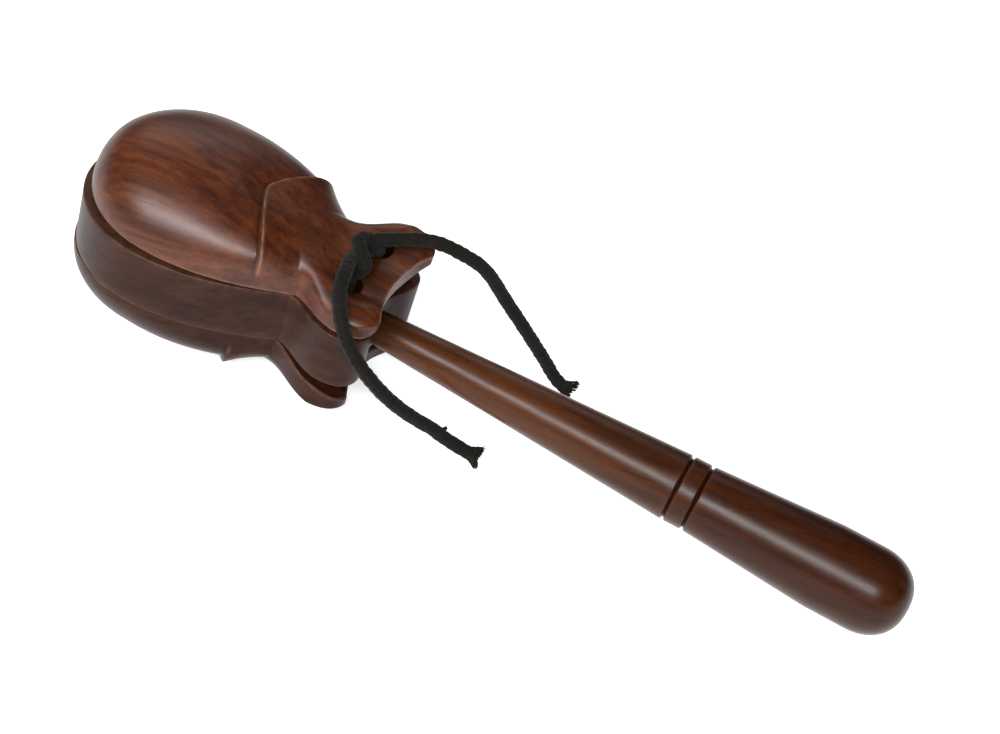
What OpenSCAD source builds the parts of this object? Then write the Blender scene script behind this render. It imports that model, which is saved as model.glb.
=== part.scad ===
// Handle castanets: two hollowed shells tied by a cord to the faces of a thick plate on a turned handle.
// The instrument lies on its lower shell and its butt: +Z is up, +X runs down the handle and z = 0 is the table.

/* [Plate] */
// Thickness of the centre plate
plate_t = 19.2; // [16:0.2:22]
// Radius of the round front of the plate
front_r = 34.2; // [33.5:0.1:35]
// Distance from the round front's centre to the waist
waist_x = 46.3; // [45:0.1:48]
// Half the plate's width at the waist
waist_y = 17.3; // [16.5:0.1:18.5]
// Half the plate's width across the ears
ear_y = 24.7; // [24:0.1:26]
// Depth of the notch between the ears
notch = 4.2; // [3:0.1:5]

/* [Shells] */
// Height of a shell's dome above its lip plane
dome_h = 24.3; // [23:0.1:26]
// Height of the neck at the point of the carved chevron
apex_h = 20; // [19.5:0.1:21]
// Height of the neck at the notch
notch_h = 10.2; // [10:0.1:11]
// Shell width as a share of the plate's width
shell_w = 0.975; // [0.95:0.005:0.98]
// Radius of the hollow at the lip
bowl_r = 25; // [22:0.5:26]
// Depth of the hollow
bowl_d = 13; // [10:0.5:14]
// Distance of the hollow's centre behind the round front's centre
bowl_x = 1; // [0:0.5:3]
// How far back the upper shell sits on its cord
upper_back = 1.5; // [0:0.1:2]
// How far forward the lower shell sits
lower_front = 1.5; // [0:0.1:2]
// Angle at which the upper shell stands open
upper_open = 2; // [0:0.5:2.5]
// Relief angle cut under the upper shell's ears
upper_relief = 5; // [4:0.5:6]
// Relief angle cut over the lower shell's ears
lower_relief = 11; // [9:0.5:12]
// Height of the rounding under the upper shell's rear edge
upper_round = 4.5; // [3:0.1:4.5]
// Height of the rounding over the lower shell's rear edge
lower_round = 2; // [1:0.1:2]
// Slope across the upper shell's ears, whose hand carving left one lower than the other
ear_slope = 0.16; // [0:0.01:0.16]

/* [Handle] */
// Diameter where the handle leaves the plate
handle_d1 = 11; // [10:0.2:12]
// Diameter at the two ring grooves
handle_d2 = 22; // [21:0.2:23]
// Largest diameter, near the butt
handle_d3 = 27.6; // [27:0.2:28.4]
// Distance from the round front's centre to the butt
handle_x = 255.5; // [250:0.5:262]
// Tenon diameter
tenon_d = 8; // [7:0.5:9]
// Tenon length inside the plate
tenon_l = 22; // [18:1:24]

/* [Cord] */
// Diameter of the cord
cord_d = 4.4; // [4:0.1:4.5]
// Diameter of the cord holes in the plate
hole_d = 5.4; // [5.2:0.1:6]
// Diameter of the wider cord holes in the shells
shell_hole_d = 9; // [8.8:0.1:9.6]
// Distance of the cord holes from the centreline
hole_y = 9.6; // [9:0.1:10]

/* [Hidden] */
gap = 0.3;
rear_x = waist_x + 28.2;
notch_x = rear_x - notch;
hole_x = waist_x + 12.7;
hinge_z = plate_t / 2 + gap;
groove_x = [177.8, 184.5];
// lying pose: the dome's crown and the handle's thickest ring both touch the table
ring_x = handle_x - 14;
lean = atan((hinge_z + dome_h - handle_d3 / 2) / (ring_x + 2));
lift = ring_x * sin(lean) + handle_d3 / 2 * cos(lean) + 0.1;
mid_x = 109.6;

// cord routes: the loop in the instrument's own frame, the knot and the tails where they lie on the table
loop_side = [[60.6, 9.2, 21.6], [60.3, 9.6, 17], [59.7, 9.6, 12], [59.2, 9.6, 7], [59, 9.6, 0], [58.8, 9.6, -7],
    [58.3, 9.6, -12], [58, 9.6, -16], [57.9, 9.5, -18.8], [57.8, 8.7, -21.2], [57.8, 7, -22.6], [57.8, 4, -23.1]];
loop_route = concat(loop_side, [[57.8, 0, -23.1]],
    [for (i = [len(loop_side) - 1:-1:0]) [loop_side[i].x, -loop_side[i].y, loop_side[i].z]]);
knot_route = [[-48.7, 1.2, 56], [-48.7, 0.4, 56], [-48.6, -2, 56.2], [-48.4, -5, 56.4], [-48.1, -8, 56.4],
    [-47.9, -10.4, 56.4], [-47.8, -11.2, 56.4]];
knot_r = [2.4, 3.6, 4.6, 4.8, 4.6, 3.6, 2.4];
near_route = [[-47.8, -12, 56.6], [-47, -14.7, 57.1], [-46, -17.9, 57.4], [-45.2, -21, 57], [-44.4, -23.5, 55.7],
    [-43.4, -25.2, 53.4], [-42.2, -26.2, 50.2], [-40.7, -26.8, 46.6], [-38.8, -27.4, 43.2], [-36.4, -27.8, 39.9],
    [-33.6, -28, 36.6], [-29.6, -27, 31.8], [-24.4, -24.2, 25.2], [-19, -20, 18.6], [-13.6, -15, 12.6],
    [-10.2, -12.2, 9.6], [-6, -10, 6.2], [-1.6, -8.8, 4.2], [2.4, -8.4, 3.2]];
far_route = [[-47.8, 3, 56.2], [-46, 4.7, 56.5], [-42.6, 6.4, 57.2], [-38, 9, 58], [-33.2, 11.6, 58.4],
    [-27.8, 13.6, 58], [-22.2, 15.8, 56], [-17, 19.6, 52], [-13.6, 23, 47], [-11.4, 25.6, 42.4], [-9.2, 28, 37.8],
    [-6.4, 30.2, 33], [-3.2, 32.4, 28], [2.2, 36.4, 19], [7.2, 39.8, 10.8], [9.6, 41, 7], [12, 41.6, 4.4],
    [14.6, 41.4, 3.2]];

// ---- plan outline: half of it, from the front tip to the rear edge's end ----
function bez(p, t) = pow(1 - t, 3) * p[0] + 3 * pow(1 - t, 2) * t * p[1] + 3 * (1 - t) * t * t * p[2]
    + t * t * t * p[3];
flank = [[0, front_r], [18, front_r], [32, 26.5], [waist_x, waist_y]];
ear = [[waist_x, waist_y], [waist_x + 5, waist_y + 0.7], [waist_x + 11, ear_y], [waist_x + 18.2, ear_y]];
tip = [[waist_x + 18.2, ear_y], [waist_x + 23.7, ear_y], [rear_x - 0.4, ear_y - 2.7], [rear_x, 17]];
rear = [[rear_x, 17], [rear_x, 10], [notch_x, 6], [notch_x, 0]];
half_outline = concat(
    [for (a = [0:5:85]) [-front_r * cos(a), front_r * sin(a)]],
    [for (i = [0:15]) bez(flank, i / 16)],
    [for (i = [0:9]) bez(ear, i / 10)],
    [for (i = [0:9]) bez(tip, i / 10)],
    [for (i = [0:8]) bez(rear, i / 9)]);
outline = concat(half_outline, [[notch_x, 0]],
    [for (i = [len(half_outline) - 1:-1:1]) [half_outline[i].x, -half_outline[i].y]]);

// ---- shell's outer skin: chevron rows [centre x, edge point, bend, centre height, edge height,
// fullness, ease, curl]: the row runs from the centreline to the edge, ease 1 leaves a crease there and
// curl lifts its outer half ----
step_t = 0.735;
function mix(a, b, t) = a + (b - a) * t;
function ramp(x, a, b) = let (t = min(1, max(0, (x - a) / (b - a)))) t * t * (3 - 2 * t);
function scaled(p) = [p.x, p.y * shell_w];
function crown(x) = x < 0
    ? mix(1.6, dome_h, pow(1 - pow(min(1, -x / (front_r * shell_w)), 2.2), 1 / 2.2))
    : dome_h - 5.6 * pow(x / 20.9, 1.65);
function neck_h(s) = mix(apex_h, notch_h, s) - 2.8 * sin(180 * pow(s, 1.4));
neck_x0 = 21.8;
front_rows = [for (a = [4:8.6:90]) let (r = front_r * shell_w, x = -r * cos(a))
    [x, [x, r * sin(a)], 1, crown(x), 1.6, 1.85, 0.54, 0]];
flank_rows = [for (i = [1:11]) let (s = i / 11, x = 20.9 * s)
    [x, scaled(bez(flank, (step_t - 0.03) * s)), 1 + 0.3 * s * s, crown(x), 1.6 + 4.6 * pow(s, 1.4), 1.85 + 0.4 * s, 0.54 - 0.1 * s, 0]];
neck_rows = [for (i = [0:5]) let (s = i / 5)
    [mix(neck_x0, 36, s), scaled(bez(flank, mix(step_t, 1, s))), 1.3,
        neck_h(0.26 * s), mix(6.8, 7.4, s), mix(3.2, 2.4, s), mix(0.36, 1, s), 0]];
ear_rows = [for (i = [1:8]) let (s = i / 8)
    [mix(36, 55, s), scaled(bez(ear, s)), mix(1.3, 1.5, s),
        neck_h(mix(0.26, 0.67, s)), mix(7.4, 10.4, s), mix(2.4, 4, s), 1 - 0.4 * s * s, 3.6 * s * s]];
tip_rows = [for (i = [1:8]) let (s = i / 8)
    [mix(55, notch_x, s), scaled(bez(tip, s)), mix(1.5, 2, s),
        neck_h(mix(0.67, 1, s)), 10.4, 4, 0.6, 3.8 - 3.4 * pow(s, 4)]];
rows = concat(front_rows, flank_rows, neck_rows, ear_rows, tip_rows);
cols = [for (j = [-13:13]) sin(j * 90 / 13)];

// the sharp waist of the lip fades into a smooth hollow higher up, and the ears' shoulders stand
// over the dip between them
function soften(x, v) = 0.43 * (norm([x - waist_x, 7]) - abs(x - waist_x)) * (1 - pow(abs(v), 4));
function skin(r, v, slope) = let (
    x = r[0] + (r[1].x - r[0]) * pow(abs(v), r[2]),
    y = (r[1].y + soften(r[1].x, v)) * v,
    z = mix(r[4], r[3] + r[7] * ramp(abs(v), 0.4, 0.8), pow(max(0, 1 - pow(abs(v), r[5])), r[6])))
    [x, y, z + slope * y * ramp(x, waist_x, waist_x + 14)];

// height of the inner face over the lip plane: level up to the waist, the heel line that the shell rocks on,
// then relieved behind it and rounded up to the rear edge
function relieved(x, y, relief, rounding, slope) = (x - waist_x) * tan(relief)
    + rounding * pow(max(0, 1 - (rear_x - x) / 9.5), 1.2) + slope * y * ramp(x, rear_x - 8, rear_x - 1);

// triangles between two lines of points, given as lists of indices
function strip(a, b) = [for (k = [0:len(a) - 2]) each [[a[k], a[k + 1], b[k + 1]], [a[k], b[k + 1], b[k]]]];

module blank(relief, rounding, slope) {
    nr = len(rows);
    nc = len(cols);
    heel = len(front_rows) + len(flank_rows) + len(neck_rows) - 1;
    top = [for (r = rows, v = cols) skin(r, v, slope)];
    // inner face behind the heel line, on rows that bend into the notch
    back = [for (k = [heel:nr - 1], v = cols) let (r = rows[k], s = (k - heel) / (nr - 1 - heel),
        x = mix(r[1].x, skin(r, v, 0).x, s * s))
        [x, r[1].y * v, relieved(x, r[1].y * v, relief, rounding, slope)]];
    // edge of the lip in front of the heel line
    lip = concat([for (k = [heel - 1:-1:0]) [rows[k][1].x, -rows[k][1].y, 0]],
        [for (k = [0:heel - 1]) [rows[k][1].x, rows[k][1].y, 0]]);
    b0 = len(top);
    l0 = b0 + len(back);
    d0 = l0 + len(lip);
    t = [for (i = [0:nr - 1]) [for (j = [0:nc - 1]) i * nc + j]];
    u = [for (i = [0:nr - 1 - heel]) [for (j = [0:nc - 1]) b0 + i * nc + j]];
    rim = concat([u[0][0]], [for (k = [0:2 * heel - 1]) l0 + k], [for (j = [nc - 1:-1:0]) u[0][j]]);
    n = len(rim) - 1;
    // rings of the hollow, from its mouth in the lip plane to its flat floor
    points = concat(top, back, lip);
    dip = [for (a = [0:9:81], k = [0:n - 1]) let (p = points[rim[k]], d = unit([p.x - bowl_x, p.y]))
        [bowl_x + bowl_r * cos(a) * d.x, bowl_r * cos(a) * d.y, bowl_d * sin(a)]];
    loops = concat([rim], [for (a = [0:9]) [for (k = [0:n]) d0 + a * n + k % n]]);
    edges = [for (c = [0, nc - 1]) [for (i = [0:nr - 1]) t[i][c]]];
    low = [for (c = [0, 1]) concat([for (i = [0:heel - 1]) rim[c == 0 ? heel - i : heel + 1 + i]],
        [for (i = [heel:nr - 1]) u[i - heel][c * (nc - 1)]])];
    polyhedron(concat(points, dip), concat(
        [for (i = [0:nr - 2]) each strip(t[i], t[i + 1])],
        [for (i = [0:nr - 2 - heel]) each strip(u[i + 1], u[i])],
        [for (i = [0:9]) each strip(loops[i + 1], loops[i])],
        strip(edges[0], low[0]), strip(low[1], edges[1]), strip(t[nr - 1], u[nr - 1 - heel]),
        [concat([for (j = [nc - 1:-1:0]) t[0][j]], [rim[heel], rim[heel + 1]])],
        [[for (k = [n - 1:-1:0]) loops[10][k]]]));
}

module shell(relief, rounding, slope) difference() {
    blank(relief, rounding, slope);
    for (y = [-hole_y, hole_y]) translate([hole_x, y, -1]) cylinder(d = shell_hole_d, h = 30, $fn = 36);
}

module lay() translate([-mid_x, 0, lift]) rotate([0, lean, 0]) children();

module centre_plate() color([0.27, 0.15, 0.12]) lay() difference() {
    translate([0, 0, -plate_t / 2]) linear_extrude(plate_t) polygon(outline);
    for (y = [-hole_y, hole_y]) translate([hole_x, y, -plate_t]) cylinder(d = hole_d, h = 2 * plate_t, $fn = 36);
    translate([notch_x - tenon_l, 0, 0]) rotate([0, 90, 0]) cylinder(d = tenon_d, h = tenon_l + 10, $fn = 36);
    translate([notch_x, 0, 0]) rotate([0, 90, 0]) cylinder(d = handle_d1 + 0.1, h = 10, $fn = 48);
}

// turned profile from the tenon to the rounded butt: [distance along the handle, radius]
module handle() color([0.33, 0.18, 0.13]) lay()
    translate([notch_x, 0, 0]) rotate([0, 90, 0]) rotate_extrude($fn = 96) {
    r1 = handle_d1 / 2;
    r2 = handle_d2 / 2;
    r3 = handle_d3 / 2;
    g = [for (x = groove_x) x - notch_x];
    butt = handle_x - notch_x;
    ring = ring_x - notch_x;
    polygon(concat(
        [[0, -tenon_l + 1], [tenon_d / 2, -tenon_l + 1], [tenon_d / 2, 0], [r1, 0]],
        [for (x = g) each [[r2, x - 0.7], [r2 - 1.1, x], [r2, x + 0.7]]],
        [[r3, ring - 14], [r3, ring]],
        [for (a = [8:8:88]) [r3 * pow(cos(a), 0.8), ring + (butt - ring) * sin(a)]],
        [[0, butt]]));
}

module upper_shell() color([0.38, 0.19, 0.12]) lay()
    translate([waist_x + upper_back, 0, hinge_z]) rotate([0, upper_open, 0]) translate([-waist_x, 0, 0])
        shell(upper_relief, upper_round, ear_slope);

module lower_shell() color([0.32, 0.17, 0.12]) lay()
    translate([-lower_front, 0, -hinge_z]) mirror([0, 0, 1]) shell(lower_relief, lower_round, 0);

// ---- cord: a tube swept along a route, kept level by carrying each ring's frame on to the next ----
function unit(v) = v / norm(v);
function heading(p, i) = unit(p[min(i + 1, len(p) - 1)] - p[max(i - 1, 0)]);
function carry(p, i, n) = i == len(p) ? []
    : let (t = heading(p, i), m = unit(n - (n * t) * t)) concat([m], carry(p, i + 1, m));
function ring(c, t, n, r, sides) = [for (k = [0:sides - 1]) let (a = 360 * k / sides)
    c + r * (cos(a) * n + sin(a) * cross(t, n))];
module tube(p, r, sides = 10) {
    n = carry(p, 0, abs(heading(p, 0).z) < 0.8 ? [0, 0, 1] : [1, 0, 0]);
    m = len(p);
    rr = [for (i = [0:m - 1]) is_list(r) ? r[i] : r];
    polyhedron([for (i = [0:m - 1]) each ring(p[i], heading(p, i), n[i], rr[i], sides)], concat(
        [[for (k = [0:sides - 1]) k], [for (k = [sides - 1:-1:0]) (m - 1) * sides + k]],
        [for (i = [0:m - 2], k = [0:sides - 1]) let (a = i * sides + k, b = i * sides + (k + 1) % sides)
            each [[a, b + sides, b], [a, a + sides, b + sides]]]));
}

module cord_loop() color([0.1, 0.1, 0.1]) lay() tube(loop_route, cord_d / 2);
module cord_knot() color([0.1, 0.1, 0.1]) tube(knot_route, knot_r);
module cord_tail_near() color([0.1, 0.1, 0.1]) tube(near_route, cord_d / 2);
module cord_tail_far() color([0.1, 0.1, 0.1]) tube(far_route, cord_d / 2);
// frayed end: the loose threads spread from the cord's diameter to about twice it
module fray(p) let (e = p[len(p) - 1], d = heading(p, len(p) - 1), level = unit([d.x, d.y, 0]))
    tube([e + 1.3 * d, e + 3.2 * level, e + 5.6 * level], [cord_d / 2, 2.5, 3]);
module cord_fray_near() color([0.12, 0.12, 0.12]) fray(near_route);
module cord_fray_far() color([0.12, 0.12, 0.12]) fray(far_route);

centre_plate();
handle();
upper_shell();
lower_shell();
cord_loop();
cord_knot();
cord_tail_near();
cord_tail_far();
cord_fray_near();
cord_fray_far();
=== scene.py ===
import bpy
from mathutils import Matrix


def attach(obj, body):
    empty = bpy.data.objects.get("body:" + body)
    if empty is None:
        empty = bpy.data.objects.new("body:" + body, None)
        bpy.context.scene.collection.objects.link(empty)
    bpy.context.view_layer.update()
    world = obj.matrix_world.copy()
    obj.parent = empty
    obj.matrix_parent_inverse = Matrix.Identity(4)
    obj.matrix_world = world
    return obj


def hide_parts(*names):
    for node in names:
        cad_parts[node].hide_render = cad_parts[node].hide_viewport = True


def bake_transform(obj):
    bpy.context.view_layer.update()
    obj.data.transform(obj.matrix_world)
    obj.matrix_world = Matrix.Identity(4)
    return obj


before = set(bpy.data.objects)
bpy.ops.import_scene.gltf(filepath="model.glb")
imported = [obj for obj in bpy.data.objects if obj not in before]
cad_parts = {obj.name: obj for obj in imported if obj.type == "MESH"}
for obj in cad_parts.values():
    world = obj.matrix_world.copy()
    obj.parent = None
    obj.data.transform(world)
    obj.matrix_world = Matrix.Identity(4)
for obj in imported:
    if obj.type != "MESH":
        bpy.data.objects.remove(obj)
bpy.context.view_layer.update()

import math

import bmesh
import bpy
import numpy as np
from mathutils import Euler, Matrix, Vector
from mathutils.kdtree import KDTree

scene = bpy.context.scene
MM = 0.001

# ---------------------------------------------------------------- sizes in mm, as in part.scad
# centre plate
plate_t, front_r = 19.2, 34.2
waist_x, waist_y, ear_y, notch = 46.3, 17.3, 24.7, 4.2
rear_x = waist_x + 28.2
notch_x = rear_x - notch
# shells
dome_h, apex_h, notch_h, shell_w = 24.3, 20.0, 10.2, 0.975
bowl_r, bowl_d, bowl_x = 25.0, 13.0, 1.0
upper_back, lower_front, upper_open = 1.5, 1.5, 2.0
upper_relief, upper_round, ear_slope = 5.0, 4.5, 0.16
lower_relief, lower_round = 11.0, 2.0
hinge_z = plate_t / 2 + 0.3
# handle, whose rounded butt is as long as the straight stretch before it
handle_d1, handle_d2, handle_d3, handle_x = 11.0, 22.0, 27.6, 255.5
tenon_d, tenon_l, butt_l = 8.0, 22.0, 14
ring_x = handle_x - butt_l
groove_x = (177.8, 184.5)
groove_w = 0.7
# cord
cord_d, hole_d, shell_hole_d, hole_y = 4.4, 5.4, 9.0, 9.6
hole_x = waist_x + 12.7
# lying pose: the dome's crown and the handle's thickest ring both touch the table
mid_x = 109.6
lean = math.atan((hinge_z + dome_h - handle_d3 / 2) / (ring_x + 2))
COS, SIN = math.cos(lean), math.sin(lean)
lift = ring_x * SIN + handle_d3 / 2 * COS + 0.1


def lay(p):
    """Instrument's own frame to the table's frame, both in mm."""
    p = np.asarray(p, float)
    return np.stack([p[..., 0] * COS + p[..., 2] * SIN - mid_x, p[..., 1],
                     -p[..., 0] * SIN + p[..., 2] * COS + lift], -1)


# ---------------------------------------------------------------- camera
cam = bpy.data.objects.new("camera", bpy.data.cameras.new("camera"))
scene.collection.objects.link(cam)
cam_place = Matrix.Translation((0.117657, -0.423412, 0.384644))
cam_turn = Euler([math.radians(a) for a in (50.4119, -11.4291, 24.451)])
cam.matrix_world = cam_place @ cam_turn.to_matrix().to_4x4()
cam.data.sensor_width = 36.0
cam.data.lens = 65.373
cam.data.clip_start = 0.01
scene.camera = cam


# ---------------------------------------------------------------- mesh helpers
def make(name, verts, faces, body=None, replaces=(), mat=None):
    """A piece from points in mm in the table's frame, with doubled points merged."""
    me = bpy.data.meshes.new(name)
    me.from_pydata((np.asarray(verts) * MM).tolist(), [], [list(map(int, f)) for f in faces])
    me.validate()
    bm = bmesh.new()
    bm.from_mesh(me)
    bmesh.ops.remove_doubles(bm, verts=bm.verts, dist=2e-6)
    bmesh.ops.dissolve_degenerate(bm, edges=bm.edges, dist=1e-7)
    bmesh.ops.recalc_face_normals(bm, faces=bm.faces)
    bm.to_mesh(me)
    bm.free()
    ob = bpy.data.objects.new(name, me)
    scene.collection.objects.link(ob)
    finish_piece(ob, body, replaces, mat)
    return ob


def finish_piece(ob, body, replaces, mat, angle=None):
    """Smooth shading, sharp above an angle in degrees; then material, slot, body and the nodes replaced."""
    for p in ob.data.polygons:
        p.use_smooth = True
    if angle:
        ob.data.set_sharp_from_angle(angle=math.radians(angle))
    if mat:
        ob.data.materials.clear()
        ob.data.materials.append(mat)
    if body:
        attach(ob, body)
    if replaces:
        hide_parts(*replaces)


def grid_faces(index, close=False):
    """Quads between neighbouring rows of a 2-D array of indices; close joins each row's ends."""
    a = np.asarray(index)
    if close:
        a = np.concatenate([a, a[:, :1]], 1)
    return np.stack([a[:-1, :-1], a[:-1, 1:], a[1:, 1:], a[1:, :-1]], -1).reshape(-1, 4).tolist()


def join(parts):
    """One list of points and one of faces from several."""
    verts, faces, base = [], [], 0
    for v, f in parts:
        verts.append(np.asarray(v))
        faces += [[i + base for i in q] for q in f]
        base += len(v)
    return np.concatenate(verts), faces


class Build:
    """Points and faces of one shape, grown a grid or a ring at a time."""

    def __init__(self):
        self.points, self.faces, self.count = [], [], 0

    def add(self, points):
        """Adds points and gives their indices."""
        points = np.asarray(points, float).reshape(-1, 3)
        index = np.arange(self.count, self.count + len(points))
        self.points.append(points)
        self.count += len(points)
        return index

    def ring(self, before, points):
        """Adds a ring of points, joins it to the ring before it and gives its indices."""
        index = self.add(points)
        self.faces += grid_faces(np.stack([before, index]), close=True)
        return index


def lengths_along(line):
    """Distance of each point of a line from its start."""
    return np.concatenate([[0], np.cumsum(np.linalg.norm(np.diff(line, axis=0), axis=1))])


def smooth_path(points, step):
    """Catmull-Rom curve through the points, resampled evenly, and its length."""
    p = np.asarray(points, float)
    p = np.concatenate([[2 * p[0] - p[1]], p, [2 * p[-1] - p[-2]]])
    t = np.linspace(0, 1, 24, endpoint=False)[:, None]
    out = []
    for a, b, c, d in zip(p, p[1:], p[2:], p[3:]):
        out.append(0.5 * (2 * b + (c - a) * t + (2 * a - 5 * b + 4 * c - d) * t * t
                          + (3 * b - a - 3 * c + d) * t ** 3))
    out = np.concatenate(out + [p[-2:-1]])
    s = lengths_along(out)
    u = np.linspace(0, s[-1], max(2, int(round(s[-1] / step)) + 1))
    return np.stack([np.interp(u, s, out[:, k]) for k in range(3)], 1), s[-1]


def frames(path):
    """Normal and side at each point of a path, each normal carried on from the one before."""
    t = np.gradient(path, axis=0)
    t /= np.linalg.norm(t, axis=1, keepdims=True)
    n = np.zeros_like(path)
    ref = np.array([0, 0, 1.0]) if abs(t[0, 2]) < 0.8 else np.array([1.0, 0, 0])
    for i in range(len(path)):
        ref = ref - (ref @ t[i]) * t[i]
        ref /= np.linalg.norm(ref)
        n[i] = ref
    return n, np.cross(t, n)


def sweep(path, radii, sides):
    """Rings about a path: points (path, sides, 3) for radii of the same shape, or of one column."""
    normal, side = frames(path)
    angle = (2 * math.pi * (np.arange(sides) / sides))[None, :, None]
    outward = np.cos(angle) * normal[:, None] + np.sin(angle) * side[:, None]
    return path[:, None] + radii[..., None] * outward


def braid(points, radius, step=0.34, sides=44, amp=0.05, phase=0.0, taper=None):
    """Round braid: a swept tube whose skin carries eight strands laid each way.

    Gives points, faces, the path and its length. taper is shares of the length and radius factors.
    """
    path, length = smooth_path(points, step)
    s = np.linspace(0, length, len(path))[:, None]
    u = (np.arange(sides) / sides)[None, :]
    strands, slant = 8, 0.62
    rise = strands / (math.pi * 2 * radius) * slant
    one, two = strands * u + rise * s + phase, strands * u - rise * s + phase
    lump = np.cos(2 * math.pi * one) * 0.28 + np.cos(math.pi * one) * np.cos(math.pi * two) * 0.9
    drift = 0.022 * np.sin(s * 0.9 + phase) + 0.016 * np.sin(s * 2.3 + 1 + phase)
    radii = radius * (1 + amp * lump + drift + 0.008 * np.sin(7 * 2 * math.pi * u + s * 5.1))
    if taper is not None:
        radii = radii * np.interp(s[:, 0] / length, *taper)[:, None]
    rings = sweep(path, radii, sides)
    count = len(path)
    verts = np.concatenate([rings.reshape(-1, 3), path[:1], path[-1:]])
    index = np.arange(count * sides).reshape(count, sides)
    faces = grid_faces(index, close=True)
    faces += [[count * sides, index[0, (j + 1) % sides], index[0, j]] for j in range(sides)]
    faces += [[count * sides + 1, index[-1, j], index[-1, (j + 1) % sides]] for j in range(sides)]
    return verts, faces, path, length


# ---------------------------------------------------------------- materials
def new_mat(name):
    """A node material, its tree and its shader."""
    m = bpy.data.materials.new(name)
    m.use_nodes = True
    return m, m.node_tree, m.node_tree.nodes["Principled BSDF"]


def grey(v):
    return (v, v, v)


class Net:
    """Small helper to wire shader nodes."""

    def __init__(self, nt):
        self.nt = nt

    def node(self, kind, **values):
        n = self.nt.nodes.new(kind)
        for k, v in values.items():
            setattr(n, k, v)
        return n

    def put(self, socket, value):
        if isinstance(value, bpy.types.NodeSocket):
            self.nt.links.new(value, socket)
        else:
            socket.default_value = value

    def math(self, op, a, b):
        n = self.node("ShaderNodeMath", operation=op)
        self.put(n.inputs[0], a)
        self.put(n.inputs[1], b)
        return n.outputs[0]

    def mapping(self, vector, scale=(1, 1, 1), rotation=(0, 0, 0), location=(0, 0, 0)):
        n = self.node("ShaderNodeMapping")
        self.put(n.inputs["Vector"], vector)
        n.inputs["Scale"].default_value = scale
        n.inputs["Rotation"].default_value = rotation
        n.inputs["Location"].default_value = location
        return n.outputs[0]

    def noise(self, vector, scale, detail, rough, colour=False):
        """Noise with scale waves per metre along each axis."""
        n = self.node("ShaderNodeTexNoise")
        self.put(n.inputs["Vector"], self.mapping(vector, scale=scale))
        n.inputs["Scale"].default_value = 1.0
        n.inputs["Detail"].default_value = detail
        n.inputs["Roughness"].default_value = rough
        return n.outputs["Color" if colour else "Fac"]

    def ramp(self, fac, stops):
        n = self.node("ShaderNodeValToRGB")
        els = n.color_ramp.elements
        while len(els) < len(stops):
            els.new(0.5)
        for e, (pos, col) in zip(els, stops):
            e.position = pos
            e.color = (*col, 1)
        self.put(n.inputs[0], fac)
        return n.outputs[0]

    def mix(self, fac, a, b, kind="MIX"):
        n = self.node("ShaderNodeMix", data_type="RGBA", blend_type=kind)
        self.put(n.inputs["Factor"], fac)
        self.put(n.inputs["A"], a if isinstance(a, bpy.types.NodeSocket) else (*a, 1))
        self.put(n.inputs["B"], b if isinstance(b, bpy.types.NodeSocket) else (*b, 1))
        return n.outputs["Result"]

    def shift(self, vector, by, scale):
        """The vector moved by a centred colour noise, times scale."""
        centred = self.node("ShaderNodeVectorMath", operation="ADD")
        self.put(centred.inputs[0], by)
        self.put(centred.inputs[1], grey(-0.5))
        scaled = self.node("ShaderNodeVectorMath", operation="SCALE")
        self.put(scaled.inputs[0], centred.outputs[0])
        scaled.inputs["Scale"].default_value = scale
        moved = self.node("ShaderNodeVectorMath", operation="ADD")
        self.put(moved.inputs[0], vector)
        self.put(moved.inputs[1], scaled.outputs[0])
        return moved.outputs[0]

    def bump(self, height, strength, distance, normal=None):
        n = self.node("ShaderNodeBump")
        self.put(n.inputs["Height"], height)
        n.inputs["Strength"].default_value = strength
        n.inputs["Distance"].default_value = distance
        if normal is not None:
            self.put(n.inputs["Normal"], normal)
        return n.outputs[0]


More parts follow.
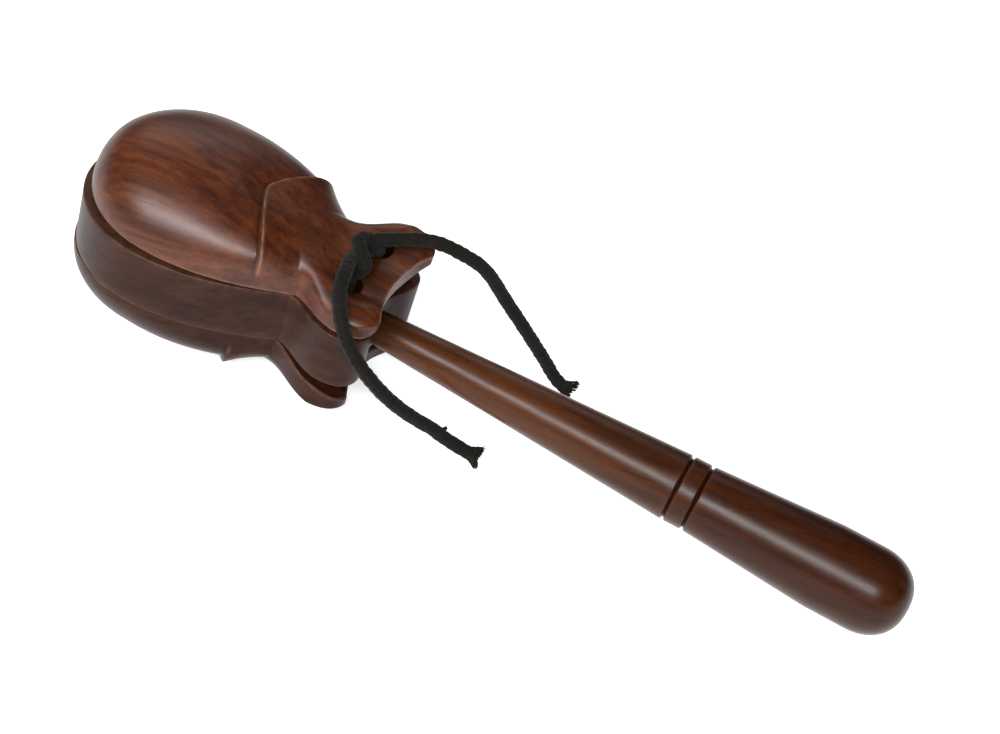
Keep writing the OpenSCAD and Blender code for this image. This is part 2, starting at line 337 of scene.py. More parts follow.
def rosewood(name, dark, mid, light, offset, streak, rough, shine, wear_and_highlight, grip=None):
    """Satin-lacquered rosewood: long streaks, fine fibre, short dark pores, paler edges that are partly wear
    and partly a painted highlight, and painted shade in the recesses.

    offset moves the grain, so that no two pieces share it. grip is the share of each colour that the wood
    keeps at the far end, which is darker.
    """
    m, nt, bsdf = new_mat(name)
    g = Net(nt)
    co = g.node("ShaderNodeTexCoord").outputs["Object"]
    # the grain runs along the handle, which leans by a few degrees
    along = g.mapping(co, rotation=(0, lean, 0), location=offset)
    wander = g.shift(along, g.noise(along, (14, 40, 40), 2.0, 0.5, colour=True), 0.0045)
    broad = g.noise(wander, (6, 120, 120), 3.0, 0.55)
    veins = g.noise(wander, (8, 420, 420), 3.0, 0.6)
    fibre = g.noise(wander, (45, 2300, 2300), 2.0, 0.6)
    pores = g.noise(wander, (330, 3400, 3400), 1.0, 0.5)

    # colour: three browns by tone, then dark veins and pores
    tone = g.math("ADD", g.math("MULTIPLY", broad, 1.0 - streak), g.math("MULTIPLY", veins, streak))
    tone = g.math("ADD", tone, g.math("MULTIPLY", g.math("SUBTRACT", fibre, 0.5), 0.22))
    colour = g.ramp(tone, [(0.34, dark), (0.5, mid), (0.66, light)])
    line = g.ramp(veins, [(0.33, grey(1.0)), (0.42, grey(0.0))])
    colour = g.mix(g.math("MULTIPLY", line, 0.42), colour, dark)
    pore = g.ramp(pores, [(0.30, grey(1.0)), (0.36, grey(0.0))])
    colour = g.mix(g.math("MULTIPLY", pore, 0.6), colour, tuple(c * 0.35 for c in dark))

    # paler edges, partly wear and partly a painted highlight; darker towards the far end of the handle;
    # painted shade in the corners and recesses
    # paler colour along the edges: partly real wear, partly a painted highlight on the rounded edges
    wear_highlight_mask = g.node("ShaderNodeAttribute", attribute_name="wear_and_highlight").outputs["Fac"]
    patch = g.noise(along, grey(260), 3.0, 0.6)
    rub_and_highlight = g.math("MULTIPLY", wear_highlight_mask, g.ramp(patch, [(0.34, grey(0.25)), (0.62, grey(1.0))]))
    colour = g.mix(g.math("MULTIPLY", rub_and_highlight, 0.6), colour, wear_and_highlight)
    # darker towards the far end of the handle
    if grip:
        place = g.node("ShaderNodeSeparateXYZ")
        g.put(place.inputs[0], co)
        toward_butt = g.node("ShaderNodeMapRange", interpolation_type="SMOOTHSTEP")
        g.put(toward_butt.inputs["Value"], place.outputs["X"])
        for key, value in (("From Min", -0.02), ("From Max", 0.09), ("To Min", 0.0), ("To Max", 1.0)):
            toward_butt.inputs[key].default_value = value
        colour = g.mix(toward_butt.outputs["Result"], colour, grip, "MULTIPLY")
    # painted shade: darker in the step's crease, down the cord holes' walls and in the grooves
    recess_shade_mask = g.node("ShaderNodeAttribute", attribute_name="recess_shade").outputs["Fac"]
    colour = g.mix(g.math("MULTIPLY", recess_shade_mask, 0.8), colour, tuple(c * 0.25 for c in dark))
    g.put(bsdf.inputs["Base Color"], colour)

    # gloss: smeared by handling, duller where it is rubbed
    smear = g.noise(along, (45, 160, 160), 3.0, 0.55)
    gloss = g.math("ADD", rough - 0.05, g.math("MULTIPLY", smear, 0.12))
    g.put(bsdf.inputs["Roughness"], g.math("ADD", gloss, g.math("MULTIPLY", rub_and_highlight, 0.12)))
    bsdf.inputs["Specular IOR Level"].default_value = shine

    # relief: a slow ripple from the carving, then fibre and pores
    ripple = g.bump(g.noise(along, (60, 110, 110), 2.0, 0.5), 0.12, 0.0008)
    grain = g.math("ADD", g.math("MULTIPLY", fibre, 0.6), g.math("MULTIPLY", pore, -1.0))
    g.put(bsdf.inputs["Normal"], g.bump(grain, 0.10, 0.00012, ripple))
    return m


def cotton(name, base, tip):
    """Matt black braided cotton with a soft nap."""
    m, nt, bsdf = new_mat(name)
    g = Net(nt)
    co = g.node("ShaderNodeTexCoord").outputs["Object"]
    fine = g.noise(co, grey(4200), 3.0, 0.65)
    blot = g.noise(co, grey(500), 2.0, 0.6)
    fac = g.math("ADD", g.math("MULTIPLY", fine, 0.65), g.math("MULTIPLY", blot, 0.35))
    g.put(bsdf.inputs["Base Color"], g.ramp(fac, [(0.3, base), (0.72, tip)]))
    bsdf.inputs["Roughness"].default_value = 0.95
    bsdf.inputs["Specular IOR Level"].default_value = 0.15
    bsdf.inputs["Sheen Weight"].default_value = 0.05
    bsdf.inputs["Sheen Roughness"].default_value = 0.45
    bsdf.inputs["Sheen Tint"].default_value = (0.75, 0.78, 0.8, 1)
    g.put(bsdf.inputs["Normal"], g.bump(fine, 0.6, 0.0002))
    return m


M_UPPER = rosewood("rosewood_upper", dark=(0.022, 0.0040, 0.0011), mid=(0.054, 0.0116, 0.0030),
                   light=(0.092, 0.0245, 0.0062), offset=(0, 0, 0), streak=0.5, rough=0.38, shine=0.33,
                   wear_and_highlight=(0.24, 0.13, 0.085))
# the lower shell is the same wood as the upper one, painted much darker as shade for its place under the
# plate
M_LOWER_SHADED = rosewood("rosewood_lower_shaded", dark=(0.007, 0.0018, 0.0008), mid=(0.019, 0.0046, 0.0017),
                   light=(0.032, 0.0092, 0.0031), offset=(0.31, 0.07, 0.02), streak=0.5, rough=0.38,
                   shine=0.12, wear_and_highlight=(0.11, 0.055, 0.034))
M_PLATE = rosewood("rosewood_plate", dark=(0.010, 0.0029, 0.0015), mid=(0.021, 0.0066, 0.0034),
                   light=(0.032, 0.0115, 0.0055), offset=(0.11, 0.23, 0.05), streak=0.4, rough=0.40,
                   shine=0.12, wear_and_highlight=(0.09, 0.045, 0.028))
M_HANDLE = rosewood("rosewood_handle", dark=(0.021, 0.0056, 0.0016), mid=(0.042, 0.0126, 0.0037),
                    light=(0.064, 0.0205, 0.0060), offset=(0.45, 0.12, 0.31), streak=0.4, rough=0.31,
                    shine=0.18, wear_and_highlight=(0.09, 0.04, 0.022), grip=(0.60, 0.49, 0.42))
M_CORD = cotton("black_cotton", base=(0.0020, 0.0016, 0.0011), tip=(0.0085, 0.0070, 0.0050))

# ---------------------------------------------------------------- cords, on the routes of part.scad
loop_side = [[60.6, 9.2, 21.6], [60.3, 9.6, 17], [59.7, 9.6, 12], [59.2, 9.6, 7], [59, 9.6, 0],
             [58.8, 9.6, -7], [58.3, 9.6, -12], [58, 9.6, -16], [57.9, 9.5, -18.8], [57.8, 8.7, -21.2],
             [57.8, 7, -22.6], [57.8, 4, -23.1]]
loop_route = loop_side + [[57.8, 0, -23.1]] + [[x, -y, z] for x, y, z in loop_side[::-1]]
near_route = [[-47.8, -12, 56.6], [-47, -14.7, 57.1], [-46, -17.9, 57.4], [-45.2, -21, 57],
              [-44.4, -23.5, 55.7], [-43.4, -25.2, 53.4], [-42.2, -26.2, 50.2], [-40.7, -26.8, 46.6],
              [-38.8, -27.4, 43.2], [-36.4, -27.8, 39.9], [-33.6, -28, 36.6], [-29.6, -27, 31.8],
              [-24.4, -24.2, 25.2], [-19, -20, 18.6], [-13.6, -15, 12.6], [-10.2, -12.2, 9.6],
              [-6, -10, 6.2], [-1.6, -8.8, 4.2], [2.4, -8.4, 3.2]]
far_route = [[-47.8, 3, 56.2], [-46, 4.7, 56.5], [-42.6, 6.4, 57.2], [-38, 9, 58], [-33.2, 11.6, 58.4],
             [-27.8, 13.6, 58], [-22.2, 15.8, 56], [-17, 19.6, 52], [-13.6, 23, 47], [-11.4, 25.6, 42.4],
             [-9.2, 28, 37.8], [-6.4, 30.2, 33], [-3.2, 32.4, 28], [2.2, 36.4, 19], [7.2, 39.8, 10.8],
             [9.6, 41, 7], [12, 41.6, 4.4], [14.6, 41.4, 3.2]]


def tuft(route, seed, threads=170, rings=7, sides=5):
    """Frayed end: threads that leave the cut braid, curl, and spread level like a fishtail."""
    r = np.random.default_rng(seed)
    path, _ = smooth_path(route, 0.5)
    end = path[-1]
    ahead = path[-1] - path[-3]
    ahead = np.array([ahead[0], ahead[1], 0]) / math.hypot(ahead[0], ahead[1])
    level, upright = np.array([-ahead[1], ahead[0], 0]), np.array([0, 0, 1.0])
    core = 1.9
    lowest, highest = 0.5, end[2] + 2.9
    t = np.linspace(0, 1, rings)[:, None]
    index = np.arange(rings * sides).reshape(rings, sides)
    faces = grid_faces(index, close=True) + [index[0][::-1].tolist(), index[-1].tolist()]
    parts = []
    for _ in range(threads):
        a, q = r.uniform(0, 2 * math.pi), math.sqrt(r.uniform(0, 1))
        start = end - ahead * r.uniform(0.2, 1.2) + (level * math.cos(a) + upright * math.sin(a)) * core * q
        spread = (2.4 + 2.3 * abs(math.cos(a))) * r.uniform(0.8, 1.0) * q
        length = r.uniform(2.6, 3.9) + 1.7 * abs(math.cos(a)) * q
        curl, wobble = r.uniform(0, 2 * math.pi), r.uniform(0.15, 0.45)
        out = core * q + (spread - core * q) * t ** 1.3
        fan = level * np.cos(a + 0.5 * t) + upright * np.sin(a + 0.5 * t)
        swirl = level * np.cos(curl + 5 * t) + upright * np.sin(curl + 5 * t)
        line = end + ahead * (length * t - 0.6) + fan * out
        line = line + wobble * swirl * t * (1 - 0.3 * t)
        line[0] = start
        line[:, 2] = np.clip(line[:, 2], lowest, highest)
        radii = r.uniform(0.22, 0.36) * np.linspace(1, 0.55, rings)[:, None]
        parts.append((sweep(line, radii, sides).reshape(-1, 3), faces))
    return join(parts)


def pulled_thread(path):
    """A thread pulled up from the braid a little before its end."""
    foot = path[int(0.885 * len(path))]
    route = [foot + [0, 0.8, 1.4], foot + [0.1, 1.2, 2.3], foot + [0.5, 1.4, 2.8]]
    return braid(route, 0.8, step=0.2, sides=10, amp=0.0, taper=([0, 1], [1, 0.75]))[:2]


def tail(side, route, phase, seed):
    """A free tail of the cord with its frayed end."""
    v, f, path, length = braid(route, cord_d / 2, phase=phase)
    ob = make("cord_tail_" + side + "_braid", v, f, "frame", ["cord_tail_" + side], M_CORD)
    v, f = tuft(route, seed)
    if side == "near":
        v, f = join([(v, f), pulled_thread(path)])
    end = make("cord_fray_" + side + "_threads", v, f, "frame", ["cord_fray_" + side], M_CORD)


tail("near", near_route, phase=0.3, seed=6)
tail("far", far_route, phase=1.1, seed=14)

# the loop's ends are rounded where they meet the knot, and its lower run goes with the lower ears
v, f, _, _ = braid(lay(loop_route), cord_d / 2, phase=0.6,
                   taper=([0, 0.006, 0.02, 0.98, 0.994, 1], [0.35, 0.8, 1, 1, 0.8, 0.35]))
ob = make("cord_loop_braid", v, f, None, ["cord_loop"], M_CORD)
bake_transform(ob)

# knot: the strand from the near hole climbs over and leaves as the far tail, the other passes under it
strand_far = [[-49.6, -9.7, 43], [-49.2, -9.7, 46.6], [-48, -9.2, 49.8], [-45.8, -8.2, 51.6],
              [-44.2, -7.5, 53.6], [-45.1, -7, 56], [-47.4, -5.1, 57.6], [-49.5, -2.7, 58.2],
              [-49.6, 0.2, 58], [-48.6, 2.2, 57], [-47.6, 3.1, 56.3]]
strand_near = [[-49.2, 9.8, 44], [-48, 10, 47], [-46.9, 8.1, 50.3], [-46.6, 3.6, 53], [-47.8, 0.2, 53.8],
               [-48.6, -3.5, 54.4], [-48.3, -7.6, 55.6], [-47.8, -11.9, 56.6]]
strands = [braid(route, cord_d / 2, phase=phase, taper=([0, 0.94, 1], [1, 1, 0.86]))[:2]
           for route, phase in ((strand_far, 0.2), (strand_near, 0.9))]
v, f = join(strands)
make("cord_knot_strands", v, f, "upper", ["cord_knot"], M_CORD)


# ---------------------------------------------------------------- plan outline, as in part.scad
def bez(p, t):
    """Cubic Bezier curve through p[0] and p[3] at shares t."""
    p, t = np.asarray(p, float), np.asarray(t, float)[..., None]
    return (1 - t) ** 3 * p[0] + 3 * (1 - t) ** 2 * t * p[1] + 3 * (1 - t) * t * t * p[2] + t ** 3 * p[3]


def mix(a, b, t):
    return a + (b - a) * t


def ramp(x, a, b):
    """Smooth step from 0 at a to 1 at b."""
    t = np.clip((np.asarray(x, float) - a) / (b - a), 0, 1)
    return t * t * (3 - 2 * t)


flank = [[0, front_r], [18, front_r], [32, 26.5], [waist_x, waist_y]]
ear = [[waist_x, waist_y], [waist_x + 5, waist_y + 0.7], [waist_x + 11, ear_y], [waist_x + 18.2, ear_y]]
tip = [[waist_x + 18.2, ear_y], [waist_x + 23.7, ear_y], [rear_x - 0.4, ear_y - 2.7], [rear_x, 17]]
rear = [[rear_x, 17], [rear_x, 10], [notch_x, 6], [notch_x, 0]]

# ---------------------------------------------------------------- the shells' skin, as in part.scad
# share of the flank where the carved step meets the edge, and the step's places on the centreline
step_t, step_gap = 0.735, 0.03
dome_x1, neck_x0, neck_x1, ear_x1 = 20.9, 21.8, 36, 55
dome_edge_h, dome_full, dome_ease, ear_edge_h = 1.6, 1.85, 0.54, 10.4


def crown(x):
    """Height of the dome's centreline: a rounded front, then a slow fall to the foot of the step."""
    x = np.asarray(x, float)
    front = mix(dome_edge_h, dome_h,
                (1 - np.minimum(1, np.maximum(0, -x) / (front_r * shell_w)) ** 2.2) ** (1 / 2.2))
    return np.where(x < 0, front, dome_h - 5.6 * (np.maximum(x, 0) / dome_x1) ** 1.65)


def neck_h(s):
    """Height of the neck's centreline, from the chevron's point to the notch, with a dip between."""
    return mix(apex_h, notch_h, s) - 2.8 * np.sin(math.pi * s ** 1.4)


def table(s, *cells):
    """Rows [centre x, edge x, edge y, bend, centre height, edge height, fullness, ease, curl] at shares s."""
    return np.stack([cell + 0 * s for cell in cells], 1)


def front_rows(s):
    radius = front_r * shell_w
    x = -radius * np.cos(s * math.pi / 2)
    return table(s, x, x, radius * np.sin(s * math.pi / 2), 1, crown(x), dome_edge_h, dome_full, dome_ease, 0)


def flank_rows(s):
    edge = bez(flank, (step_t - step_gap) * s)
    return table(s, dome_x1 * s, edge[:, 0], edge[:, 1] * shell_w, 1 + 0.3 * s * s, crown(dome_x1 * s),
                 dome_edge_h + 4.6 * s ** 1.4, dome_full + 0.4 * s, dome_ease - 0.1 * s, 0)


def neck_rows(s):
    edge = bez(flank, mix(step_t, 1, s))
    return table(s, mix(neck_x0, neck_x1, s), edge[:, 0], edge[:, 1] * shell_w, 1.3, neck_h(0.26 * s),
                 mix(6.8, 7.4, s), mix(3.2, 2.4, s), mix(0.36, 1, s), 0)


def ear_rows(s):
    edge = bez(ear, s)
    return table(s, mix(neck_x1, ear_x1, s), edge[:, 0], edge[:, 1] * shell_w, mix(1.3, 1.5, s),
                 neck_h(mix(0.26, 0.67, s)), mix(7.4, ear_edge_h, s), mix(2.4, 4, s),
                 1 - 0.4 * s * s, 3.6 * s * s)


def tip_rows(s):
    edge = bez(tip, s)
    return table(s, mix(ear_x1, notch_x, s), edge[:, 0], edge[:, 1] * shell_w, mix(1.5, 2, s),
                 neck_h(mix(0.67, 1, s)), ear_edge_h, 4, 0.6, 3.8 - 3.4 * s ** 4)


def skin(rows, v, slope):
    """Points (rows, columns, 3) for columns v from -1 at one edge to 1 at the other."""
    rows, v = rows[:, None, :], v[None, :]
    centre_x, edge_x, edge_y, bend, centre_h, edge_h, full, ease, curl = (rows[..., k] for k in range(9))
    out = np.abs(v)
    soften = 0.43 * (np.hypot(edge_x - waist_x, 7) - np.abs(edge_x - waist_x)) * (1 - out ** 4)
    x = centre_x + (edge_x - centre_x) * out ** bend
    y = (edge_y + soften) * v
    z = mix(edge_h, centre_h + curl * ramp(out, 0.4, 0.8), np.maximum(0, 1 - out ** full) ** ease)
    return np.stack([x, y, z + slope * y * ramp(x, waist_x, waist_x + 14)], -1)


def relieved(x, y, relief, rounding, slope):
    """Height of the inner face behind the heel line over the lip plane."""
    x = np.asarray(x, float)
    return ((x - waist_x) * math.tan(math.radians(relief))
            + rounding * np.maximum(0, 1 - (rear_x - x) / 9.5) ** 1.2
            + slope * y * ramp(x, rear_x - 8, rear_x - 1))


def shell_top(v, slope):
    """The carved outer skin: its grid of points, its heel row, the step's upper edge and its foot."""
    front = skin(front_rows(np.linspace(0, 1, 45) ** 0.9), v, slope)
    dome = skin(flank_rows(np.linspace(0, 1, 40)[1:]), v, slope)
    neck = skin(neck_rows(np.linspace(0, 1, 26)), v, slope)
    # the step's face rises from the dome's last row to the neck's first, rounded at both
    t = np.array([0.08, 0.2, 0.35, 0.5, 0.65, 0.8, 0.92])[:, None, None]
    step = mix(dome[-1], neck[0], t)
    eased = t[..., 0] * 0.45 + 0.55 * (3 * t[..., 0] ** 2 - 2 * t[..., 0] ** 3)
    step[..., 2] = mix(dome[-1, :, 2], neck[0, :, 2], eased)
    ears = skin(ear_rows(np.linspace(0, 1, 41)[1:]), v, slope)
    tips = skin(tip_rows(np.linspace(0, 1, 36)[1:]), v, slope)
    heel = len(front) + len(dome) + len(step) + len(neck) - 1
    return np.concatenate([front, dome, step, neck, ears, tips]), heel, neck[0], dome[-1]


def eased_rings(loop, low, radius):
    """Rings from the skin's edge down the wall and round the eased edge of the inner face."""
    along = np.roll(loop, -1, 0)[:, :2] - np.roll(loop, 1, 0)[:, :2]
    along /= np.linalg.norm(along, axis=1, keepdims=True)
    inward = np.stack([-along[:, 1], along[:, 0]], 1)
    rings = []
    for share in (0.3, 0.6, 0.85):
        ring = loop.copy()
        ring[:, 2] = mix(loop[:, 2], low + radius, share)
        rings.append(ring)
    for a in np.radians((0, 22, 45, 68, 90)):
        ring = loop.copy()
        ring[:, :2] += inward * radius * (1 - math.cos(a))
        ring[:, 2] = low + radius * (1 - math.sin(a))
        rings.append(ring)
    return rings


def shell_points(relief, rounding, slope):
    """A shell in its own frame, lip plane at z = 0: points, faces, and the lines for the paler edges (wear
    and painted highlight) and for the painted shade.
    """
    v = np.sin(np.linspace(-1.52, 1.52, 111)) / math.sin(1.52)
    top, heel, ridge, foot = shell_top(v, slope)
    nr, nc = top.shape[:2]
    build = Build()
    grid = build.add(top).reshape(nr, nc)
    build.faces += grid_faces(grid)

    # edge loop: front point, -y side (row i at i), rear edge, +y side (row i at -i)
    edge = np.concatenate([grid[:1, nc // 2], grid[1:, 0], grid[-1, 1:], grid[-2:0:-1, -1]])
    loop = top.reshape(-1, 3)[edge]
    low = np.where(loop[:, 0] > waist_x, relieved(loop[:, 0], loop[:, 1], relief, rounding, slope), 0)
    rings = eased_rings(loop, low, 0.5)
    rim = edge
    for ring in rings:
        rim = build.ring(rim, ring)
    inner = rings[-1]

    # inner face behind the heel line, on rows that bend into the notch
    rows = np.arange(heel, nr)
    back = np.empty((len(rows), nc), int)
    back[:, 0], back[:, -1], back[-1] = rim[rows], rim[-rows], rim[nr - 1:nr - 1 + nc]
    rows = rows[:-1]
    share = ((rows - heel) / (nr - 1 - heel)) ** 2
    x = inner[rows, 0][:, None] + (top[rows, :, 0] - top[rows, :1, 0]) * share[:, None]
    y = inner[-rows, 1][:, None] * v
    z = relieved(x, y, relief, rounding, slope)
    z[0] = 0
    back[:-1, 1:-1] = build.add(np.stack([x, y, z], -1)[:, 1:-1]).reshape(-1, nc - 2)
    build.faces += grid_faces(back)

    # lip in front of the heel line, then the hollow: rings about its centre
    rim = np.concatenate([rim[heel::-1], rim[-1:-heel - 1:-1], back[0, -2:0:-1]])
    centre = np.array([bowl_x, 0])
    out = np.concatenate(build.points)[rim, :2] - centre
    far = np.linalg.norm(out, axis=1, keepdims=True)
    out = out / far
    plan = [(mix(far, bowl_r + 0.7, share), 0.0) for share in (0.3, 0.6, 0.85, 1.0)]
    plan += [(bowl_r + 0.38, 0.05), (bowl_r + 0.15, 0.2), (bowl_r + 0.02, 0.5)]
    plan += [(bowl_r * math.cos(a), bowl_d * math.sin(a)) for a in np.radians(range(6, 89, 5))]
    for radius, height in plan:
        rim = build.ring(rim, np.column_stack([centre + out * radius, np.full(len(out), height)]))
    floor_point = build.add([[bowl_x, 0, bowl_d]])[0]
    build.faces += [[a, b, floor_point] for a, b in zip(rim, np.roll(rim, -1))]
    lines = {"ridge": ridge, "foot": foot, "last": top[-1], "rim": np.concatenate([rings[-3], rings[-2]])}
    return np.concatenate(build.points), build.faces, lines


# ---------------------------------------------------------------- cutting and marking
def bore(radius, centre, bottom, top, step=None, sides=72):
    """A cutter about a vertical axis, or with a step its wall as denser rings of points."""
    levels = np.arange(bottom, top, step) if step else (bottom, top)
    ang = np.arange(sides) / sides * 2 * math.pi
    pts = np.array([[centre[0] + radius * math.cos(a), centre[1] + radius * math.sin(a), z]
                    for z in levels for a in ang])
    idx = np.arange(len(pts)).reshape(len(levels), sides)
    return pts, grid_faces(idx, close=True) + [idx[0][::-1].tolist(), idx[-1].tolist()]


def lathe_x(profile, sides):
    """A solid turned about the X axis: profile is (x, radius) from one end to the other."""
    ang = np.arange(sides) / sides * 2 * math.pi
    pts = np.array([[x, r * math.sin(a), r * math.cos(a)] for x, r in profile for a in ang])
    idx = np.arange(len(pts)).reshape(len(profile), sides)
    return pts, grid_faces(idx, close=True) + [idx[0].tolist(), idx[-1][::-1].tolist()]


def cut(ob, cutters):
    """Takes the cutters out of the piece and leaves no modifier."""
    v, f = join(cutters)
    tool = make("cutter", v, f)
    mod = ob.modifiers.new("cut", "BOOLEAN")
    mod.object, mod.operation, mod.solver = tool, "DIFFERENCE", "EXACT"
    dg = bpy.context.evaluated_depsgraph_get()
    me = bpy.data.meshes.new_from_object(ob.evaluated_get(dg))
    ob.modifiers.clear()
    ob.data = me
    bpy.data.objects.remove(tool)


def mark(ob, name, lines, width):
    """Vertex attribute: 1 on the given lines of points (mm), fading over width."""
    pts = np.concatenate(lines) * MM
    tree = KDTree(len(pts))
    for i, p in enumerate(pts):
        tree.insert(p, i)
    tree.balance()
    val = [math.exp(-(tree.find(v.co)[2] / (width * MM)) ** 2) for v in ob.data.vertices]
    at = ob.data.attributes.new(name, "FLOAT", "POINT")
    at.data.foreach_set("value", val)


def dense(line, step=0.3):
    """The line resampled every step, in mm."""
    line = np.asarray(line, float)
    s = lengths_along(line)
    u = np.arange(0, s[-1], step)
    return np.stack([np.interp(u, s, line[:, k]) for k in range(3)], 1)


# ---------------------------------------------------------------- shells
def place_upper(p):
    """The upper shell's own frame to the table's, standing open on its heel line."""
    a = math.radians(upper_open)
    x, y, z = p[:, 0] - waist_x, p[:, 1], p[:, 2]
    return lay(np.stack([x * math.cos(a) + z * math.sin(a) + waist_x + upper_back, y,
                         -x * math.sin(a) + z * math.cos(a) + hinge_z], 1))


def place_lower(p):
    """The lower shell's own frame to the table's, turned over."""
    return lay(np.stack([p[:, 0] - lower_front, p[:, 1], -p[:, 2] - hinge_z], 1))


def shell(side, shape, place, mat):
    v, f, lines = shell_points(*shape)
    ob = make(side + "_shell_carved", place(v), f)
    r, centres = shell_hole_d / 2, [(hole_x, y) for y in (-hole_y, hole_y)]
    below, above = -3, 30
    holes = [bore(r, centre, below, above) for centre in centres]
    cut(ob, [(place(q), g) for q, g in holes])
    # paler ridge, rear edge and lip: partly wear, partly a painted highlight on the rounded edges
    mark(ob, "wear_and_highlight", [dense(place(lines["ridge"])), dense(place(lines["last"])), place(lines["rim"])], 0.42)
    # painted shade at the foot of the step and down the walls of the cord holes
    walls = [bore(r, centre, below, above, step=0.5)[0] for centre in centres]
    mark(ob, "recess_shade", [dense(place(lines["foot"]))] + [place(q) for q in walls], 0.5)
    finish_piece(ob, side, [side + "_shell"], mat, 34)


shell("upper", (upper_relief, upper_round, ear_slope), place_upper, M_UPPER)
shell("lower", (lower_relief, lower_round, 0.0), place_lower, M_LOWER_SHADED)


# ---------------------------------------------------------------- centre plate
def centre_plate():
    front = np.radians(np.arange(0, 90, 1.5))
    half = np.concatenate([np.stack([-front_r * np.cos(front), front_r * np.sin(front)], 1)]
                          + [bez(curve, np.linspace(0, 1, count, endpoint=False))
                             for curve, count in ((flank, 70), (ear, 44), (tip, 34), (rear, 36))])
    outline = np.concatenate([half, [[notch_x, 0]], half[:0:-1] * [1, -1]])
    along = np.roll(outline, -1, 0) - np.roll(outline, 1, 0)
    along /= np.linalg.norm(along, axis=1, keepdims=True)
    inward = np.stack([along[:, 1], -along[:, 0]], 1)
    ease, face = 0.55, plate_t / 2
    # section of the wall: (inset, height) round the lower eased edge, up the wall, round the upper one
    turns = np.radians((90, 68, 45, 22, 0))
    section = [(ease * (1 - math.cos(a)), -face + ease * (1 - math.sin(a))) for a in turns]
    section += [(0, z) for z in np.linspace(-face + ease, face - ease, 9)[1:-1]]
    section += [(ease * (1 - math.cos(a)), face - ease * (1 - math.sin(a))) for a in turns[::-1]]
    pts = np.concatenate([np.column_stack([outline + inward * inset, np.full(len(outline), z)])
                          for inset, z in section])
    idx = np.arange(len(pts)).reshape(len(section), -1)
    faces = grid_faces(idx, close=True) + [idx[0][::-1].tolist(), idx[-1].tolist()]
    ob = make("centre_plate_eased", lay(pts), faces)

    cutters = [bore(hole_d / 2, (hole_x, y), -20, 20) for y in (-hole_y, hole_y)]
    tenon_r, seat_r, past = tenon_d / 2, handle_d1 / 2 + 0.05, 12
    cutters.append(lathe_x([(notch_x - tenon_l, tenon_r), (notch_x, tenon_r), (notch_x, seat_r),
                            (notch_x + past, seat_r)], 64))
    cut(ob, [(lay(q), g) for q, g in cutters])
    # paler top and bottom edges of the plate: partly wear, partly a painted highlight
    edges = [np.column_stack([outline + inward * 0.2, np.full(len(outline), z)])
             for z in (-face + 0.15, face - 0.15)]
    mark(ob, "wear_and_highlight", [dense(lay(e), 0.4) for e in edges], 0.4)
    finish_piece(ob, "frame", ["centre_plate"], M_PLATE, 30)


centre_plate()


# ---------------------------------------------------------------- handle
def handle_profile(r1, r2, r3):
    """(distance, radius) from the tenon's end over the two ring grooves to the butt."""
    first, second = groove_x
    # half a groove's section: (distance from its middle, depth)
    lip, clear, depth = [(0.85, 0.02), (0.66, 0.12), (0.5, 0.36), (0.2, 0.95)], 1.1, 1.08

    def groove(x):
        return ([(x - o, r2 - d) for o, d in lip] + [(x, r2 - depth)]
                + [(x + o, r2 - d) for o, d in lip[::-1]])

    profile = [(notch_x - tenon_l + 1, tenon_d / 2), (notch_x, tenon_d / 2), (notch_x, r1)]
    taper_l = first - groove_w - notch_x
    profile += [(x, mix(r1, r2, (x - notch_x) / taper_l)) for x in np.linspace(notch_x, first - 1.0, 40)[1:]]
    profile += groove(first)
    profile += [(x, r2) for x in np.linspace(first + clear, second - clear, 6)]
    profile += groove(second)
    straight_x = ring_x - butt_l
    swell_l = straight_x - second - groove_w
    profile += [(x, mix(r2, r3, (x - second - groove_w) / swell_l))
                for x in np.linspace(second + clear, straight_x, 24)]
    profile += [(x, r3) for x in np.linspace(straight_x, ring_x, 8)[1:]]
    profile += [(ring_x + butt_l * math.sin(a), r3 * math.cos(a) ** 0.8)
                for a in np.radians(np.arange(3, 89.5, 3))]
    return profile


def hoop(x, r):
    """Points of a circle about the handle's axis, in the table's frame."""
    a = np.radians(np.arange(0, 360, 2))
    return lay(np.stack([np.full(len(a), x), r * np.sin(a), r * np.cos(a)], 1))


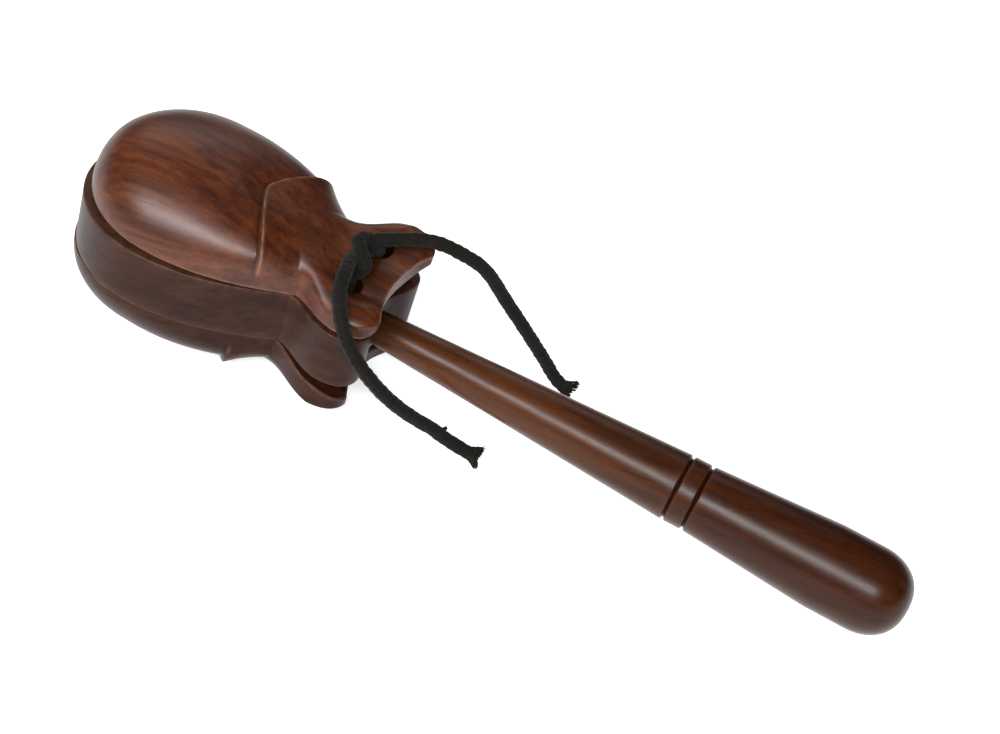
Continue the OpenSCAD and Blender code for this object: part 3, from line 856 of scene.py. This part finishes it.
def handle():
    r2 = handle_d2 / 2
    v, f = lathe_x(handle_profile(handle_d1 / 2, r2, handle_d3 / 2), 120)
    ob = make("handle_turned", lay(v), f)
    # paler lips of the grooves: partly wear, partly a painted highlight
    mark(ob, "wear_and_highlight", [hoop(x + o, r2 - 0.05) for x in groove_x for o in (-0.9, 0.9)], 0.18)
    # painted shade in the bottoms of the grooves
    mark(ob, "recess_shade", [hoop(x, r2 - 1) for x in groove_x], 0.6)
    finish_piece(ob, "frame", ["handle"], M_HANDLE, 40)


handle()

# ---------------------------------------------------------------- floor, lights, world
me = bpy.data.meshes.new("floor")
me.from_pydata([(-6, -6, 0), (6, -6, 0), (6, 6, 0), (-6, 6, 0)], [], [(0, 1, 2, 3)])
floor = bpy.data.objects.new("floor", me)
scene.collection.objects.link(floor)
paper, _, bsdf = new_mat("paper")
bsdf.inputs["Base Color"].default_value = (0.8, 0.8, 0.8, 1)
bsdf.inputs["Roughness"].default_value = 0.9
bsdf.inputs["Specular IOR Level"].default_value = 0.1
bsdf.inputs["Emission Color"].default_value = (1, 1, 1, 1)
bsdf.inputs["Emission Strength"].default_value = 0.64
me.materials.append(paper)


def softbox(name, azimuth, elevation, distance, width, height, power):
    """A rectangular light aimed at the instrument's middle. Angles in degrees, sizes in metres."""
    light = bpy.data.lights.new(name, "AREA")
    light.shape = "RECTANGLE"
    light.size, light.size_y, light.energy = width, height, power
    ob = bpy.data.objects.new(name, light)
    scene.collection.objects.link(ob)
    a, e = math.radians(azimuth), math.radians(elevation)
    away = Vector((math.cos(a) * math.cos(e), math.sin(a) * math.cos(e), math.sin(e)))
    ob.location = Vector((-0.02, 0, 0.03)) + away * distance
    ob.rotation_euler = (-away).to_track_quat("-Z", "Y").to_euler()


softbox("key", -93, 42, 1.3, 1.6, 0.24, 40)
softbox("back", 125, 42, 1.6, 1.6, 0.9, 7)

world = bpy.data.worlds.new("studio")
scene.world = world
world.use_nodes = True
world.node_tree.nodes["Background"].inputs[0].default_value = (1, 1, 1, 1)
world.node_tree.nodes["Background"].inputs[1].default_value = 0.045
scene.view_settings.view_transform = "Standard"
scene.view_settings.look = "None"
